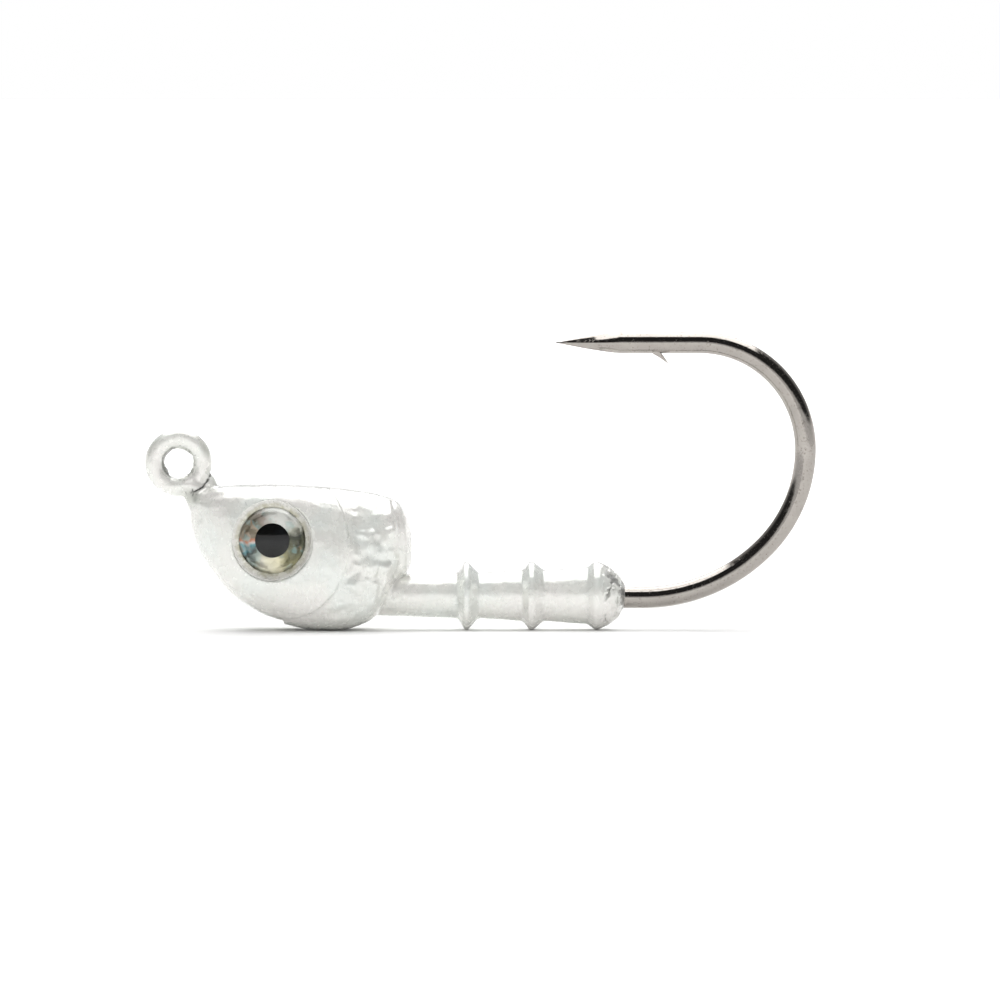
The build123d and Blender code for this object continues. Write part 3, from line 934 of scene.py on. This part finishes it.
def glue_ring(side):
    """The bead squeezed out round the eye, uneven and full of small bubbles."""
    form = bmesh.new()
    low, top = SOCKET_FLOOR + 0.01, -bead_low.y
    outline = [
        (EYE_R + 0.02, low), (EYE_R + 0.02, top - 0.02), (EYE_R + 0.1, top), (EYE_R + 0.3, top),
        (SOCKET_R + 0.02, top), (SOCKET_R + 0.06, top - 0.08), (SOCKET_R - 0.04, low),
    ]
    corners = [form.verts.new((EYE.x + radius, side * out, EYE.z)) for radius, out in outline]
    edges = [form.edges.new(pair) for pair in zip(corners, corners[1:] + corners[:1])]
    bmesh.ops.subdivide_edges(form, edges=edges, cuts=2)
    bmesh.ops.spin(
        form, geom=form.verts[:] + form.edges[:], cent=(EYE.x, 0, EYE.z), axis=(0, 1, 0),
        angle=math.tau, steps=180, use_merge=True,
    )
    tidy_skin(form)
    for vert in form.verts:
        reach = math.hypot(vert.co.x - EYE.x, vert.co.z - EYE.z)
        if abs(vert.co.y) > low + 0.2:
            share = min(max((reach - EYE_R - 0.02) / (SOCKET_R - EYE_R), 0), 1)
            rim_x = EYE.x + (vert.co.x - EYE.x) * SOCKET_R / reach
            rim_z = EYE.z + (vert.co.z - EYE.z) * SOCKET_R / reach
            rim = min(max(flank_at(rim_x, rim_z), top), 4.3)
            lift = 0.14 * (1 - share) + (rim - top + 0.03) * share ** 1.4
            lift += 0.05 * noise.noise(vert.co / 0.7 + Vector((side, 0, 0)))
            vert.co.y += side * lift
            swell = 1 + 0.02 * share * noise.noise(vert.co / 1.1)
            vert.co.x = EYE.x + (vert.co.x - EYE.x) * swell
            vert.co.z = EYE.z + (vert.co.z - EYE.z) * swell
    return form


for side_name, side in (("left", -1), ("right", 1)):
    for name, form, material, slot, node in (
        ("lure_eye_foil_", crinkled_foil, iris_foil, "iris_foil", "iris_foil_"),
        ("lure_eye_pupil_", pupil_disc, pupil_ink, "pupil_ink", "pupil_"),
        ("lure_eye_dome_", resin_dome, clear_resin, "lens_resin", "lens_"),
        ("glue_ring_", glue_ring, aged_glue, "glue", "glue_bead_"),
    ):
        new_piece(name + side_name, form(side), material, slot, node + side_name)
    for material_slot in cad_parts["adhesive_" + side_name].material_slots:
        material_slot.material = foam_tape


# ---------------------------------------------------------------- studio
def studio_sky():
    """A long softbox overhead, dim in front below it, and white for the eye."""
    world = bpy.data.worlds.new("studio")
    bpy.context.scene.world = world
    world.use_nodes = True
    tree = world.node_tree
    sky = tree.nodes["Background"]
    way = add_node(tree, "ShaderNodeTexCoord").outputs["Generated"]
    parts = add_node(tree, "ShaderNodeSeparateXYZ", {"Vector": way}).outputs
    height = maths(tree, "MAXIMUM", parts["Z"], 0.001)
    across = maths(tree, "ABSOLUTE", maths(tree, "DIVIDE", parts["X"], height))
    along = maths(tree, "DIVIDE", parts["Y"], height)
    wide = rise(tree, across, 0.66, 0.58)
    front = rise(tree, along, -0.42, -0.34)
    rear = rise(tree, along, 2.0, 1.5)
    above = rise(tree, parts["Z"], 0.0, 0.02)
    side_edges = maths(tree, "MULTIPLY", wide, front)
    end_edges = maths(tree, "MULTIPLY", rear, above)
    box = maths(tree, "MULTIPLY", side_edges, end_edges)
    dim = rise(tree, parts["Y"], -0.1, 0.85, 0.03, 0.45)
    horizon = rise(tree, parts["Z"], 0.24, 0.15, 0.0, 0.75)
    light = maths(tree, "ADD", maths(tree, "MULTIPLY", box, 2.5), maths(tree, "ADD", dim, horizon))
    seen = add_node(tree, "ShaderNodeLightPath").outputs["Is Camera Ray"]
    strength = add_node(tree, "ShaderNodeMix", {0: seen, 2: light, 3: 1.0}, data_type="FLOAT")
    tree.links.new(strength.outputs[0], sky.inputs["Strength"])
    sky.inputs["Color"].default_value = (1, 1, 1, 1)


def studio_floor():
    form = bmesh.new()
    bmesh.ops.create_grid(form, x_segments=2, y_segments=2, size=3.0)
    mesh = bpy.data.meshes.new("floor")
    form.to_mesh(mesh)
    form.free()
    floor = bpy.data.objects.new("floor", mesh)
    bpy.context.scene.collection.objects.link(floor)
    floor.location.z = -0.00002
    material, tree, shader, place = new_finish("pale_floor")
    shader.inputs["Base Color"].default_value = (0.93, 0.93, 0.925, 1)
    shader.inputs["Roughness"].default_value = 0.8
    shader.inputs["Specular IOR Level"].default_value = 0.0
    rays = add_node(tree, "ShaderNodeLightPath").outputs
    seen = maths(tree, "MAXIMUM", rays["Is Camera Ray"], rays["Is Transmission Ray"])
    back = add_node(tree, "ShaderNodeSeparateXYZ", {"Vector": place}).outputs["Y"]
    glow = rise(tree, back, 15.0, 200.0, 0.02, 0.5)
    tree.links.new(maths(tree, "MULTIPLY", seen, glow), shader.inputs["Emission Strength"])
    shader.inputs["Emission Color"].default_value = (1, 1, 1, 1)
    mesh.materials.append(material)


def front_fill():
    lamp = bpy.data.lights.new("front_fill", "AREA")
    lamp.shape = "SQUARE"
    lamp.size = 0.5
    lamp.energy = 1.45
    fill = bpy.data.objects.new("front_fill", lamp)
    fill.location = (0.0, -0.5, 0.35)
    fill.rotation_euler = (math.radians(55), 0, 0)
    fill.visible_glossy = False
    bpy.context.scene.collection.objects.link(fill)


def studio_camera():
    view = bpy.data.cameras.new("camera")
    view.lens = 475.0
    view.clip_start = 0.01
    camera = bpy.data.objects.new("camera", view)
    aim = Vector((0.001478, 0, 0.009835))
    tilt = math.radians(2.5)
    camera.location = aim + 1.0 * Vector((0, -math.cos(tilt), math.sin(tilt)))
    camera.rotation_euler = (math.radians(90) - tilt, 0, 0)
    bpy.context.scene.collection.objects.link(camera)
    bpy.context.scene.camera = camera


studio_sky()
studio_floor()
front_fill()
studio_camera()
bpy.context.scene.view_settings.view_transform = "Standard"
